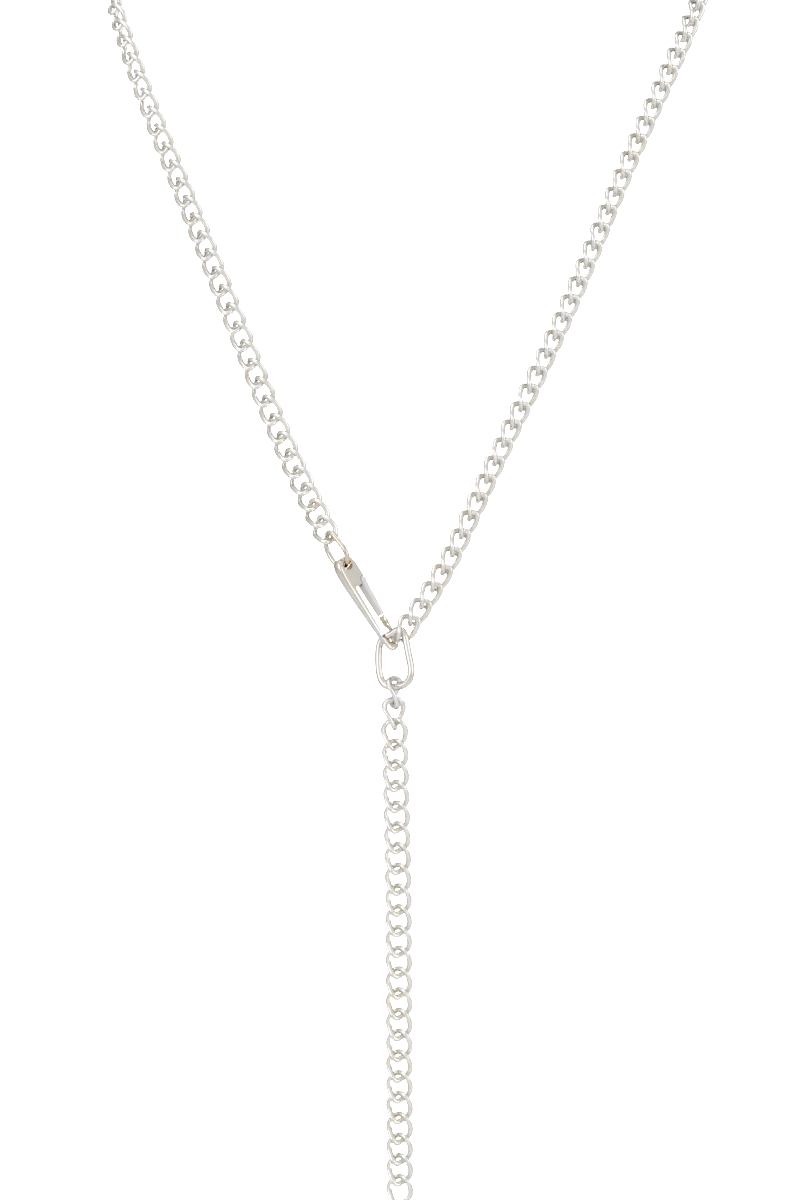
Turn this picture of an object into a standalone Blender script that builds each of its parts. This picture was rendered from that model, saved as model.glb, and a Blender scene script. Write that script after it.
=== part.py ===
"""Link necklace in polished silver: a curb chain loop closed by a trigger clasp, with a free tail of the same chain.

The origin is at the nape, where the loop sits. The front is -Y, up is +Z and +X is on the viewer's right.
"""
import math

import bmesh
import bpy
import numpy as np
from mathutils import Matrix, Vector

MM = 0.001

# Curb chain
CHAIN_WIDTH = 5.5 * MM
CHAIN_WIRE = 1.2 * MM
CHAIN_LINK_LENGTH = 6.8 * MM
CHAIN_PLAY = 0.26 * MM
CHAIN_TWIST = math.radians(80)
CHAIN_SQUARENESS = 2.8
TAIL_LINKS = 25
LINK_SIDES = 10
WIRE_SIDES = 5

# The loop on a neck: half its width, how far it stands forward and how far it drops to the connector
LOOP_HALF_WIDTH = 62.0 * MM
LOOP_DEPTH = 94.0 * MM
LOOP_DROP = 154.3 * MM

# Oval connector link
CONNECTOR_WIDTH = 8.5 * MM
CONNECTOR_LENGTH = 12.5 * MM
CONNECTOR_WIRE = 1.58 * MM
CONNECTOR_SQUARENESS = 4.0
CONNECTOR_OFFSET = 1.2 * MM
CONNECTOR_YAW = math.radians(26)
CONNECTOR_TILT = math.radians(1)

# Jump ring of the clasp
RING_WIDTH = 6.4 * MM
RING_LENGTH = 8.3 * MM
RING_WIRE = 1.15 * MM
RING_SQUARENESS = 2.8

# Trigger clasp, in its own frame: head up, face towards -Y. The heights of the slot's top and of the pivot above
# the clasp's middle and the lever's length are shares of the clasp's length.
CLASP_LENGTH = 21.4 * MM
CLASP_WIDTH = 4.7 * MM
CLASP_DEPTH = 1.75 * MM
CLASP_TAPER = 0.22
CLASP_DEPTH_TAPER = 0.45
CLASP_SQUARENESS = 4.0
CLASP_SECTION_SQUARENESS = 2.6
HOLE_DIAMETER = 2.3 * MM
HOLE_WALL = 0.6 * MM
SLOT_WIDTH = 2.1 * MM
SLOT_TOP_SHARE = 0.192
NOSE_WALL = 2.4 * MM
EYE_DIAMETER = 3.1 * MM
PIVOT_SHARE = 0.215
LEVER_SHARE = 0.355
LEVER_TIP_SLANT = 0.6 * MM
LEVER_EYE_DIAMETER = 1.6 * MM
PIN_DIAMETER = 0.6 * MM
TONGUE_THICKNESS = 0.4 * MM
TONGUE_DIAMETER = 1.3 * MM
TONGUE_ROOT = 0.4 * MM
PIN_BED = 0.25 * MM
SEAM = 0.2 * MM
CLASP_ROLL = math.radians(38)
CLASP_LEAN = Vector((-0.52, -0.03, 0.85))

# Gap between pieces that touch
GAP = 0.3 * MM

# The loop's route from the connector up the viewer's right side, round the nape and down to the jump ring:
# x, y and z as shares of the loop's half width, depth and drop, and the way that the chain's face looks,
# in degrees from the front round to the right.
LOOP_ROUTE = [
    (0.113, -0.979, -0.904, 50),
    (0.277, -0.931, -0.771, 53),
    (0.532, -0.851, -0.554, 54),
    (0.773, -0.755, -0.324, 56),
    (0.974, -0.649, -0.143, 62),
    (1.040, -0.527, -0.058, 80),
    (1.000, -0.378, -0.023, 99),
    (0.798, -0.191, -0.010, 122),
    (0.532, -0.069, -0.003, 147),
    (0.266, -0.016, 0.000, 165),
    (0.000, 0.000, 0.000, 180),
    (-0.258, -0.015, 0.000, 195),
    (-0.508, -0.067, -0.003, 213),
    (-0.758, -0.186, -0.010, 236),
    (-0.940, -0.372, -0.023, 258),
    (-0.984, -0.521, -0.058, 273),
    (-0.942, -0.638, -0.139, 293),
    (-0.758, -0.739, -0.340, 312),
    (-0.553, -0.830, -0.544, 323),
    (-0.352, -0.904, -0.742, 331),
]
# The tail's route below the connector in the same way: x, y and z from the wire that it hangs on, as shares
# of the tail's length.
TAIL_ROUTE = [
    (0.000, -0.002, -0.051, 44),
    (0.001, -0.003, -0.091, 8),
    (0.002, -0.004, -0.131, -8),
    (0.004, -0.006, -0.215, -10),
    (0.007, -0.010, -0.340, -10),
    (0.009, -0.014, -0.534, -9),
    (0.010, -0.019, -0.775, -9),
    (0.011, -0.019, -1.007, -9),
]
END_FACING_RIGHT = 46
END_FACING_LEFT = 346
END_FACING_TAIL = 89

# Where the clasp, the right strand and the tail pull on the connector, from its top round to the right
HOOK_SEAT_ANGLE = math.radians(-14)
STRAND_SEAT_ANGLE = math.radians(21)
TAIL_SEAT_ANGLE = math.pi

# How the jump ring hangs: the way that it leans, and the way that its open side looks
RING_LEAN = Vector((-0.48, 0.15, 0.86))
RING_FACING = -60

# Facets
CONNECTOR_SIDES = 18
CONNECTOR_WIRE_SIDES = 6
RING_SIDES = 14
RING_WIRE_SIDES = 6
CLASP_SECTION_SIDES = 12
CLASP_RINGS = 12
HOLE_SIDES = 12
ARC_STEPS = 8
EYE_STEPS = 14
WELD = 0.001 * MM

# An angle in degrees
HALF_TURN = 180

# Finish
CHAIN_COLOUR = (0.93, 0.92, 0.90)
CHAIN_ROUGHNESS = 0.16
FITTING_COLOUR = (0.92, 0.91, 0.89)
FITTING_ROUGHNESS = 0.08

# Worked out from the sizes above
CHAIN_PITCH = CHAIN_LINK_LENGTH - 2 * CHAIN_WIRE - CHAIN_PLAY
TAIL_LENGTH = TAIL_LINKS * CHAIN_PITCH
CONNECTOR_CENTRE = Vector((-CONNECTOR_OFFSET, -LOOP_DEPTH, -LOOP_DROP))
HOLE_HEIGHT = CLASP_LENGTH / 2 - HOLE_WALL - HOLE_DIAMETER / 2
EYE_HEIGHT = NOSE_WALL + EYE_DIAMETER / 2 - CLASP_LENGTH / 2
SLOT_TOP = SLOT_TOP_SHARE * CLASP_LENGTH
PIVOT = (SLOT_WIDTH / 2 + LEVER_EYE_DIAMETER / 2, PIVOT_SHARE * CLASP_LENGTH)
LEVER_LENGTH = LEVER_SHARE * CLASP_LENGTH


def unit(vector):
    """The vector at length one."""
    return Vector(vector).normalized()


def signed_power(value, power):
    """A power of a value's size, with the value's sign."""
    return math.copysign(abs(value) ** power, value)


def facet_radius(radius, sides):
    """The corner radius of a faceted wire whose section is as large as the round wire's."""
    return radius * math.sqrt(2 * math.pi / (sides * math.sin(2 * math.pi / sides)))


def facing_vector(degrees):
    """The level direction that a chain's face looks in, in degrees from the front round to the right."""
    angle = math.radians(degrees)
    return Vector((math.sin(angle), -math.cos(angle), 0))


def frame(origin, along, face):
    """A frame at origin whose Z runs along and whose -Y looks towards face."""
    along = unit(along)
    away = -unit(face - along * face.dot(along))
    across = away.cross(along)
    turned = Matrix((across, away, along)).transposed().to_4x4()
    return Matrix.Translation(origin) @ turned


# Ovals


class Oval:
    """An oval wire's centre line in its own XZ plane, with its ends turned against each other by twist."""

    def __init__(self, width, length, wire, squareness=2.0, twist=0.0):
        self.half_width = (width - wire) / 2
        self.half_length = (length - wire) / 2
        self.wire = wire
        self.squareness = squareness
        self.twist = twist

    def point(self, angle, stretch=1.0):
        """The centre line's point at an angle from +X towards +Z. Stretch lengthens the oval along Z."""
        power = 2 / self.squareness
        x = self.half_width * signed_power(math.cos(angle), power)
        level = signed_power(math.sin(angle), power) * stretch
        turn = -self.twist / 2 * level
        return Vector((x * math.cos(turn), x * math.sin(turn), self.half_length * level))

    def seat(self, angle):
        """The centre line's point whose outward direction is at an angle from +Z towards +X."""
        power = 1 / (self.squareness - 1)
        x = signed_power(self.half_width * math.sin(angle), power)
        z = signed_power(self.half_length * math.cos(angle), power)
        size = (abs(x) ** self.squareness + abs(z) ** self.squareness) ** (1 / self.squareness)
        return Vector((self.half_width * x / size, 0, self.half_length * z / size))

    def mesh(self, name, sides, wire_sides):
        """The faceted wire round the oval, bent from a torus, with a flat side in the middle of each end."""
        bpy.ops.mesh.primitive_torus_add(
            major_segments=sides,
            minor_segments=wire_sides,
            major_radius=self.half_width,
            minor_radius=facet_radius(self.wire / 2, wire_sides),
        )
        torus = bpy.context.object
        mesh = torus.data
        mesh.name = name
        bpy.data.objects.remove(torus)
        step = math.tau / sides
        start = (math.pi / 2 - step / 2) % step
        stretch = 1 / math.cos(step / 2)
        nudge = step / 100
        for vertex in mesh.vertices:
            x, y, z = vertex.co
            angle = math.atan2(y, x) + start
            along = unit(self.point(angle + nudge, stretch) - self.point(angle - nudge, stretch))
            place = self.point(angle, stretch)
            turn = -self.twist / 2 * place.z / self.half_length
            flat = Vector((-math.sin(turn), math.cos(turn), 0))
            outward = unit(flat.cross(along))
            side = outward.cross(along)
            vertex.co = place + outward * (math.hypot(x, y) - self.half_width) + side * z
        return mesh


# Routes


def spline(places, values, samples):
    """The natural cubic curve through values at places, read at samples."""
    count = len(places)
    gaps = np.diff(places)
    slopes = np.diff(values, axis=0) / gaps[:, None]
    system = np.eye(count)
    target = np.zeros(values.shape)
    for i in range(1, count - 1):
        system[i, i - 1] = gaps[i - 1]
        system[i, i] = 2 * (gaps[i - 1] + gaps[i])
        system[i, i + 1] = gaps[i]
        target[i] = 6 * (slopes[i] - slopes[i - 1])
    bends = np.linalg.solve(system, target)
    index = np.clip(np.searchsorted(places, samples) - 1, 0, count - 2)
    gap = gaps[index][:, None]
    after = samples[:, None] - places[index][:, None]
    before = places[index + 1][:, None] - samples[:, None]
    return (
        (bends[index] * before**3 + bends[index + 1] * after**3) / (6 * gap)
        + (values[index] / gap - bends[index] * gap / 6) * before
        + (values[index + 1] / gap - bends[index + 1] * gap / 6) * after
    )


class Route:
    """A smooth line through a few points, measured along its length."""

    SAMPLES = 4000

    def __init__(self, rows):
        rows = np.array(rows)
        steps = np.linalg.norm(np.diff(rows[:, :3], axis=0), axis=1)
        places = np.concatenate([[0], np.cumsum(steps)])
        self.rows = spline(places, rows, np.linspace(0, places[-1], self.SAMPLES))
        steps = np.linalg.norm(np.diff(self.rows[:, :3], axis=0), axis=1)
        self.distances = np.concatenate([[0], np.cumsum(steps)])
        self.length = float(self.distances[-1])

    def read(self, distance):
        """The point and the facing at a distance from the start."""
        x, y, z, facing = (np.interp(distance, self.distances, column) for column in self.rows.T)
        return Vector((x, y, z)), float(facing)

    def frame(self, distance):
        """The frame at a distance: Z along the route, -Y the way that the chain faces."""
        reach = CHAIN_LINK_LENGTH / 8
        before, _ = self.read(max(distance - reach, 0))
        after, _ = self.read(min(distance + reach, self.length))
        place, facing = self.read(distance)
        return frame(place, after - before, facing_vector(facing))


def row(point, facing):
    """A route's row for a point in metres."""
    return (*point, facing)


def loop_rows():
    """The loop's rows with their places in metres."""
    return [
        (x * LOOP_HALF_WIDTH, y * LOOP_DEPTH, z * LOOP_DROP, facing) for x, y, z, facing in LOOP_ROUTE
    ]


def tail_rows(seat):
    """The tail's rows with their places in metres, below the middle of the wire that it hangs on."""
    return [row(seat + Vector(shares) * TAIL_LENGTH, facing) for *shares, facing in TAIL_ROUTE]


# Chain

CHAIN_LINK = Oval(CHAIN_WIDTH, CHAIN_LINK_LENGTH, CHAIN_WIRE, CHAIN_SQUARENESS, CHAIN_TWIST)
CONNECTOR = Oval(CONNECTOR_WIDTH, CONNECTOR_LENGTH, CONNECTOR_WIRE, CONNECTOR_SQUARENESS)
RING = Oval(RING_WIDTH, RING_LENGTH, RING_WIRE, RING_SQUARENESS)


def link_reach(wire):
    """How far a chain's first link goes past the middle of the wire that it hangs on, to its own centre line."""
    return wire / 2 + GAP + CHAIN_WIRE / 2


def link_places(route, start_wire, end_wire=None):
    """The distances of the links' middles along a route that starts, and may end, at another piece's wire."""
    first = CHAIN_LINK.half_length - link_reach(start_wire)
    if end_wire is None:
        return [first + i * CHAIN_PITCH for i in range(TAIL_LINKS)]
    last = route.length + link_reach(end_wire) - CHAIN_LINK.half_length
    steps = math.ceil((last - first) / CHAIN_PITCH)
    return [first + (last - first) * i / steps for i in range(steps + 1)]


def fused_chain(name, route, places, collection):
    """One body of links along a route, each joined to the next by a short neck where their wires press together."""
    link = CHAIN_LINK.mesh(name + "_link", LINK_SIDES, WIRE_SIDES)
    inner = CHAIN_LINK.half_length - CHAIN_WIRE / 2
    top = min(link.polygons, key=lambda face: (face.center - Vector((0, 0, inner))).length).index
    bottom = min(link.polygons, key=lambda face: (face.center + Vector((0, 0, inner))).length).index
    faces = len(link.polygons)
    vertices = len(link.vertices)
    chain = bmesh.new()
    for i, distance in enumerate(places):
        chain.from_mesh(link)
        chain.verts.ensure_lookup_table()
        bmesh.ops.transform(chain, matrix=route.frame(distance), verts=chain.verts[i * vertices :])
    chain.faces.ensure_lookup_table()
    pairs = [
        (chain.faces[i * faces + top], chain.faces[(i + 1) * faces + bottom]) for i in range(len(places) - 1)
    ]
    rims = [[*upper.edges, *lower.edges] for upper, lower in pairs]
    bmesh.ops.delete(chain, geom=[face for pair in pairs for face in pair], context="FACES_ONLY")
    for rim in rims:
        bmesh.ops.bridge_loops(chain, edges=rim)
    bmesh.ops.recalc_face_normals(chain, faces=chain.faces)
    mesh = bpy.data.meshes.new(name)
    chain.to_mesh(mesh)
    chain.free()
    bpy.data.meshes.remove(link)
    return add(name, mesh, collection)


# Objects and materials


def silver(name, colour, roughness):
    """A polished silver."""
    material = bpy.data.materials.new(name)
    material.use_nodes = True
    shader = material.node_tree.nodes["Principled BSDF"]
    shader.inputs["Base Color"].default_value = (*colour, 1)
    shader.inputs["Roughness"].default_value = roughness
    shader.inputs["Metallic"].default_value = 1
    return material


def add(name, mesh, collection):
    """An object that holds a mesh, shaded smooth apart from its sharp edges."""
    body = bpy.data.objects.new(name, mesh)
    mesh.shade_smooth()
    mesh.set_sharp_from_angle(angle=math.radians(50))
    collection.objects.link(body)
    return body


def new_collection(name):
    """A collection in the scene."""
    collection = bpy.data.collections.new(name)
    bpy.context.scene.collection.children.link(collection)
    return collection


def finish(body, colour, roughness):
    """Gives a piece its own silver."""
    body.data.materials.clear()
    body.data.materials.append(silver(body.name + "_silver", colour, roughness))


# Clasp


def clasp_form(origin):
    """The clasp's outer form about origin: a sphere drawn out to a slim bar with rounded, slightly tapering sides."""
    bpy.ops.mesh.primitive_uv_sphere_add(segments=CLASP_SECTION_SIDES, ring_count=CLASP_RINGS, radius=1)
    ball = bpy.context.object
    mesh = ball.data
    bpy.data.objects.remove(ball)
    power = 2 / CLASP_SECTION_SQUARENESS
    for vertex in mesh.vertices:
        x, y, share = vertex.co
        angle = math.atan2(y, x)
        girth = max(1 - abs(share) ** CLASP_SQUARENESS, 0) ** (1 / CLASP_SQUARENESS)
        wide = CLASP_WIDTH / 2 * girth * (1 + CLASP_TAPER * share)
        deep = CLASP_DEPTH / 2 * girth * (1 + CLASP_DEPTH_TAPER * share)
        place = Vector((
            wide * signed_power(math.cos(angle), power),
            deep * signed_power(math.sin(angle), power),
            share * CLASP_LENGTH / 2,
        ))
        vertex.co = place - origin
    return mesh


def arc(centre, radius, start, end, steps=ARC_STEPS):
    """Points along an arc in the XZ plane, from one angle to another, in degrees from +X towards +Z."""
    angles = [math.radians(start + (end - start) * i / steps) for i in range(steps + 1)]
    return [(centre[0] + radius * math.cos(a), centre[1] + radius * math.sin(a)) for a in angles]


def plate(name, outline, thickness, parent, collection, origin=(0, 0)):
    """A flat plate of an outline in the parent's XZ plane, as thick as given along Y."""
    curve = bpy.data.curves.new(name, "CURVE")
    curve.dimensions = "2D"
    curve.fill_mode = "BOTH"
    curve.extrude = thickness / 2
    line = curve.splines.new("POLY")
    line.points.add(len(outline) - 1)
    for point, (x, z) in zip(line.points, outline):
        point.co = (x - origin[0], z - origin[1], 0, 1)
    line.use_cyclic_u = True
    drawn = bpy.data.objects.new(name, curve)
    collection.objects.link(drawn)
    mesh = bpy.data.meshes.new_from_object(drawn.evaluated_get(bpy.context.evaluated_depsgraph_get()))
    bpy.data.objects.remove(drawn)
    solid = bmesh.new()
    solid.from_mesh(mesh)
    bmesh.ops.remove_doubles(solid, verts=solid.verts, dist=WELD)
    bmesh.ops.rotate(solid, verts=solid.verts, matrix=Matrix.Rotation(math.pi / 2, 3, "X"))
    bmesh.ops.recalc_face_normals(solid, faces=solid.faces)
    solid.to_mesh(mesh)
    solid.free()
    body = bpy.data.objects.new(name, mesh)
    body.parent = parent
    body.location = (origin[0], 0, origin[1])
    collection.objects.link(body)
    return body


def cross_pin(name, diameter, length, place, parent, collection):
    """A round bar along Y at a place in the parent's XZ plane."""
    solid = bmesh.new()
    bmesh.ops.create_cone(
        solid,
        cap_ends=True,
        segments=HOLE_SIDES,
        radius1=diameter / 2,
        radius2=diameter / 2,
        depth=length,
        matrix=Matrix.Rotation(math.pi / 2, 4, "X"),
    )
    mesh = bpy.data.meshes.new(name)
    solid.to_mesh(mesh)
    solid.free()
    body = bpy.data.objects.new(name, mesh)
    body.parent = parent
    body.location = (place[0], 0, place[1])
    collection.objects.link(body)
    return body


def carve(body, tool, operation):
    """Cuts a tool out of a body, joins it on or keeps what they share."""
    step = body.modifiers.new(tool.name, "BOOLEAN")
    step.object = tool
    step.operation = operation
    step.solver = "EXACT"
    tool.hide_render = True
    tool.display_type = "WIRE"


def slot_outline():
    """The slot with its round eye at the nose, where the connector's wire sits."""
    half = SLOT_WIDTH / 2
    centre = (0, EYE_HEIGHT)
    corner = math.degrees(math.acos(half / (EYE_DIAMETER / 2)))
    eye = arc(centre, EYE_DIAMETER / 2, HALF_TURN - corner, 2 * HALF_TURN + corner, EYE_STEPS)
    return [(half, SLOT_TOP), (-half, SLOT_TOP), *eye]


def lever_outline(gap):
    """The lever's side view, with its round end about the pivot, made larger all round by a gap."""
    x, z = PIVOT
    radius = LEVER_EYE_DIAMETER / 2 + gap
    tip = z - LEVER_LENGTH - gap
    outer = CLASP_WIDTH
    inner_tip = (x - radius, tip - LEVER_TIP_SLANT / 2)
    outer_tip = (outer, tip + LEVER_TIP_SLANT / 2)
    return [inner_tip, outer_tip, (outer, z + gap), (x + radius, z + gap), *arc(PIVOT, radius, 0, HALF_TURN)[1:]]


def build_clasp(collection, cutters, placed):
    """The clasp's body and its lever, which turns about the pin."""
    holder = bpy.data.objects.new("clasp_frame", None)
    holder.matrix_world = placed
    cutters.objects.link(holder)
    through = 2 * CLASP_DEPTH
    pocket = TONGUE_THICKNESS + 2 * SEAM
    x, z = PIVOT

    body = add("clasp_body", clasp_form(Vector()), collection)
    body.parent = holder
    hole = cross_pin("ring_hole", HOLE_DIAMETER, through, (0, HOLE_HEIGHT), holder, cutters)
    slot = plate("slot", slot_outline(), through, holder, cutters)
    window = plate("lever_window", lever_outline(SEAM), through, holder, cutters)
    half = TONGUE_DIAMETER / 2
    root = z + LEVER_EYE_DIAMETER / 2 + SEAM + TONGUE_ROOT
    tongue_outline = [(x + half, root), (x - half, root), *arc(PIVOT, half, HALF_TURN, 2 * HALF_TURN)]
    tongue = plate("tongue", tongue_outline, TONGUE_THICKNESS, holder, cutters)
    bore = cross_pin("pin_bore", PIN_DIAMETER + 2 * SEAM, through, PIVOT, holder, cutters)
    carve(body, hole, "DIFFERENCE")
    carve(body, slot, "DIFFERENCE")
    carve(body, window, "DIFFERENCE")
    carve(body, tongue, "UNION")
    carve(body, bore, "DIFFERENCE")

    lever = add("clasp_lever", clasp_form(Vector((x, 0, z))), collection)
    lever.parent = holder
    lever.location = (x, 0, z)
    blank = plate("lever_blank", lever_outline(0), through, holder, cutters)
    low = z - half - SEAM
    high = z + LEVER_EYE_DIAMETER
    left = x - LEVER_EYE_DIAMETER
    right = x + CLASP_WIDTH
    pocket_outline = [(left, low), (right, low), (right, high), (left, high)]
    fork = plate("lever_fork", pocket_outline, pocket, holder, cutters)
    pin = cross_pin("pin", PIN_DIAMETER, pocket + 2 * PIN_BED, PIVOT, holder, cutters)
    carve(lever, blank, "INTERSECT")
    carve(lever, fork, "DIFFERENCE")
    carve(lever, pin, "UNION")
    return body, lever


def build():
    """The whole necklace."""
    for old in list(bpy.data.objects):
        bpy.data.objects.remove(old)
    collection = new_collection("link_necklace")
    cutters = new_collection("cutters")

    turned = Matrix.Rotation(-CONNECTOR_YAW, 4, "Z") @ Matrix.Rotation(-CONNECTOR_TILT, 4, "Y")
    connector_frame = Matrix.Translation(CONNECTOR_CENTRE) @ turned
    connector_mesh = CONNECTOR.mesh("connector_link", CONNECTOR_SIDES, CONNECTOR_WIRE_SIDES)
    connector = add("connector_link", connector_mesh, collection)
    connector.matrix_world = connector_frame
    hook_seat = connector_frame @ CONNECTOR.seat(HOOK_SEAT_ANGLE)
    strand_seat = connector_frame @ CONNECTOR.seat(STRAND_SEAT_ANGLE)
    tail_seat = connector_frame @ CONNECTOR.seat(TAIL_SEAT_ANGLE)

    front = Vector((0, -1, 0))
    level = frame(Vector(), CLASP_LEAN, front)
    face = level.to_3x3() @ Vector((math.sin(CLASP_ROLL), -math.cos(CLASP_ROLL), 0))
    clasp_frame = frame(Vector(), CLASP_LEAN, face)
    clasp_frame.translation = hook_seat - clasp_frame @ Vector((0, 0, EYE_HEIGHT))
    body, lever = build_clasp(collection, cutters, clasp_frame)

    ring_foot = clasp_frame @ Vector((0, 0, HOLE_HEIGHT))
    ring_frame = frame(Vector(), RING_LEAN, facing_vector(RING_FACING))
    ring_frame.translation = ring_foot + unit(RING_LEAN) * RING.half_length
    ring = add("clasp_ring", RING.mesh("clasp_ring", RING_SIDES, RING_WIRE_SIDES), collection)
    ring.matrix_world = ring_frame
    ring_seat = ring_frame @ RING.seat(0)

    loop = Route([
        row(strand_seat, END_FACING_RIGHT),
        *loop_rows(),
        row(ring_seat, END_FACING_LEFT),
    ])
    places = link_places(loop, CONNECTOR_WIRE, RING_WIRE)
    nape = min(range(len(places)), key=lambda i: loop.read(places[i])[0].length)
    right = fused_chain("chain_right", loop, places[: nape + 1], collection)
    left = fused_chain("chain_left", loop, places[nape + 1 :], collection)
    hanging = Route([row(tail_seat, END_FACING_TAIL), *tail_rows(tail_seat)])
    tail = fused_chain("chain_tail", hanging, link_places(hanging, CONNECTOR_WIRE), collection)

    for chain in (right, left, tail):
        finish(chain, CHAIN_COLOUR, CHAIN_ROUGHNESS)
    for piece in (connector, ring, body, lever):
        finish(piece, FITTING_COLOUR, FITTING_ROUGHNESS)


build()
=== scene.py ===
"""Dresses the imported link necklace: fine curb links, polished fittings and a plain pale studio."""
import math

import bpy
import numpy as np
from mathutils import Matrix, Vector


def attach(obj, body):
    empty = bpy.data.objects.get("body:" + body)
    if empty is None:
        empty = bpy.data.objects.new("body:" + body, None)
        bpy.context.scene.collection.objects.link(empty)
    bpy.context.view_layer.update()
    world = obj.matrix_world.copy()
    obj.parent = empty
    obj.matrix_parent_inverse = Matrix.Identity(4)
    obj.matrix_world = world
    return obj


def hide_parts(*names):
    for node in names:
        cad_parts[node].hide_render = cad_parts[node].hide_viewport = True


bl_info = {
    "name": "Link necklace",
    "version": (1, 0, 0),
    "blender": (4, 5, 0),
    "location": "View3D > Sidebar > Necklace",
    "description": "Models a curb chain necklace with a trigger clasp around its packed frame",
    "category": "Object",
}

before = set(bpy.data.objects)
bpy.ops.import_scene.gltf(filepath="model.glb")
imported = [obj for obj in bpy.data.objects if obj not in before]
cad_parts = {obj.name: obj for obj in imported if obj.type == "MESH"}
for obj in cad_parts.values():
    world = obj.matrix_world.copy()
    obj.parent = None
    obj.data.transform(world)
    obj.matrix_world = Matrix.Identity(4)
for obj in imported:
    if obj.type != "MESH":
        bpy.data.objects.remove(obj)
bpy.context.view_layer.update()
MM = 0.001

# The loop on a neck: half its width, how far it stands forward and how far it drops to the connector
LOOP_HALF_WIDTH = 62.0 * MM
LOOP_DEPTH = 94.0 * MM
LOOP_DROP = 154.3 * MM

# The loop's route from the connector up the viewer's right side, round the nape and down to the jump ring:
# x, y and z as shares of the loop's half width, depth and drop, and the way that the chain's face looks,
# in degrees from the front round to the right.
LOOP_ROUTE = [
    (0.113, -0.979, -0.904, 50),
    (0.277, -0.931, -0.771, 53),
    (0.532, -0.851, -0.554, 54),
    (0.773, -0.755, -0.324, 56),
    (0.974, -0.649, -0.143, 62),
    (1.040, -0.527, -0.058, 80),
    (1.000, -0.378, -0.023, 99),
    (0.798, -0.191, -0.010, 122),
    (0.532, -0.069, -0.003, 147),
    (0.266, -0.016, 0.000, 165),
    (0.000, 0.000, 0.000, 180),
    (-0.258, -0.015, 0.000, 195),
    (-0.508, -0.067, -0.003, 213),
    (-0.758, -0.186, -0.010, 236),
    (-0.940, -0.372, -0.023, 258),
    (-0.984, -0.521, -0.058, 273),
    (-0.942, -0.638, -0.139, 293),
    (-0.758, -0.739, -0.340, 312),
    (-0.553, -0.830, -0.544, 323),
    (-0.352, -0.904, -0.742, 331),
]
# The tail's route below the connector in the same way: x, y and z from the wire that it hangs on, as shares
# of the tail's length.
TAIL_ROUTE = [
    (0.000, -0.002, -0.051, 44),
    (0.001, -0.003, -0.091, 8),
    (0.002, -0.004, -0.131, -8),
    (0.004, -0.006, -0.215, -10),
    (0.007, -0.010, -0.340, -10),
    (0.009, -0.014, -0.534, -9),
    (0.010, -0.019, -0.775, -9),
    (0.011, -0.019, -1.007, -9),
]
END_FACING_RIGHT = 46
END_FACING_LEFT = 346
END_FACING_TAIL = 89
TAIL_LINKS = 25
GAP = 0.3 * MM

# How the fittings hang
CONNECTOR_OFFSET = 1.2 * MM
CONNECTOR_CENTRE = Vector((-CONNECTOR_OFFSET, -LOOP_DEPTH, -LOOP_DROP))
CONNECTOR_YAW = math.radians(26)
CONNECTOR_TILT = math.radians(1)
HOOK_SEAT_ANGLE = math.radians(-14)
STRAND_SEAT_ANGLE = math.radians(21)
TAIL_SEAT_ANGLE = math.pi
CLASP_ROLL = math.radians(38)
CLASP_LEAN = Vector((-0.52, -0.03, 0.85))
RING_LEAN = Vector((-0.48, 0.15, 0.86))
RING_FACING = -60

# How far each way along its route a link takes its direction from, as a share of its length
REACH_SHARE = 1 / 8

# A Bezier circle's handles, as a share of its radius
ROUND_HANDLE = 0.5523

# How finely the wires, arcs and bars are drawn
LINK_STEPS = 12
FITTING_STEPS = 24
WIRE_STEPS = 5
FLANK_STEPS = 8
OUTLINE_STEPS = 40
EYE_STEPS = 40
ROUND_STEPS = 24
BAR_SIDES = 48

# When two points are one, and the angle from which an edge stays sharp
MERGE_DISTANCE = 0.00001 * MM
SMOOTH_DEGREES = 35

# The share of tint and the share of handling marks on each silver
CHAIN_WEAR = (0.35, 0.25)
CONNECTOR_WEAR = (0.4, 0.3)
RING_WEAR = (0.9, 0.3)
CLASP_WEAR = (0.7, 0.3)
SLOT_WEAR = (1.0, 0.3)
LEVER_WEAR = (0.5, 0.3)


class NecklaceChain(bpy.types.PropertyGroup):
    """Sizes of the curb chain."""

    width: bpy.props.FloatProperty(
        name="Width", description="Width of a link", default=5.5 * MM, unit="LENGTH", precision=5
    )
    length: bpy.props.FloatProperty(
        name="Length", description="Length of a link", default=6.8 * MM, unit="LENGTH", precision=5
    )
    wire: bpy.props.FloatProperty(
        name="Wire", description="Thickness of a link's wire", default=1.2 * MM, unit="LENGTH", precision=5
    )
    play: bpy.props.FloatProperty(
        name="Play", description="Free play between two links", default=0.26 * MM, unit="LENGTH", precision=5
    )
    twist: bpy.props.FloatProperty(
        name="Twist", description="Turn from a link's one end to the other", default=math.radians(80),
        unit="ROTATION",
    )
    squareness: bpy.props.FloatProperty(
        name="Squareness", description="Two is an ellipse, more is squarer", default=2.8, min=2, max=6
    )


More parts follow.
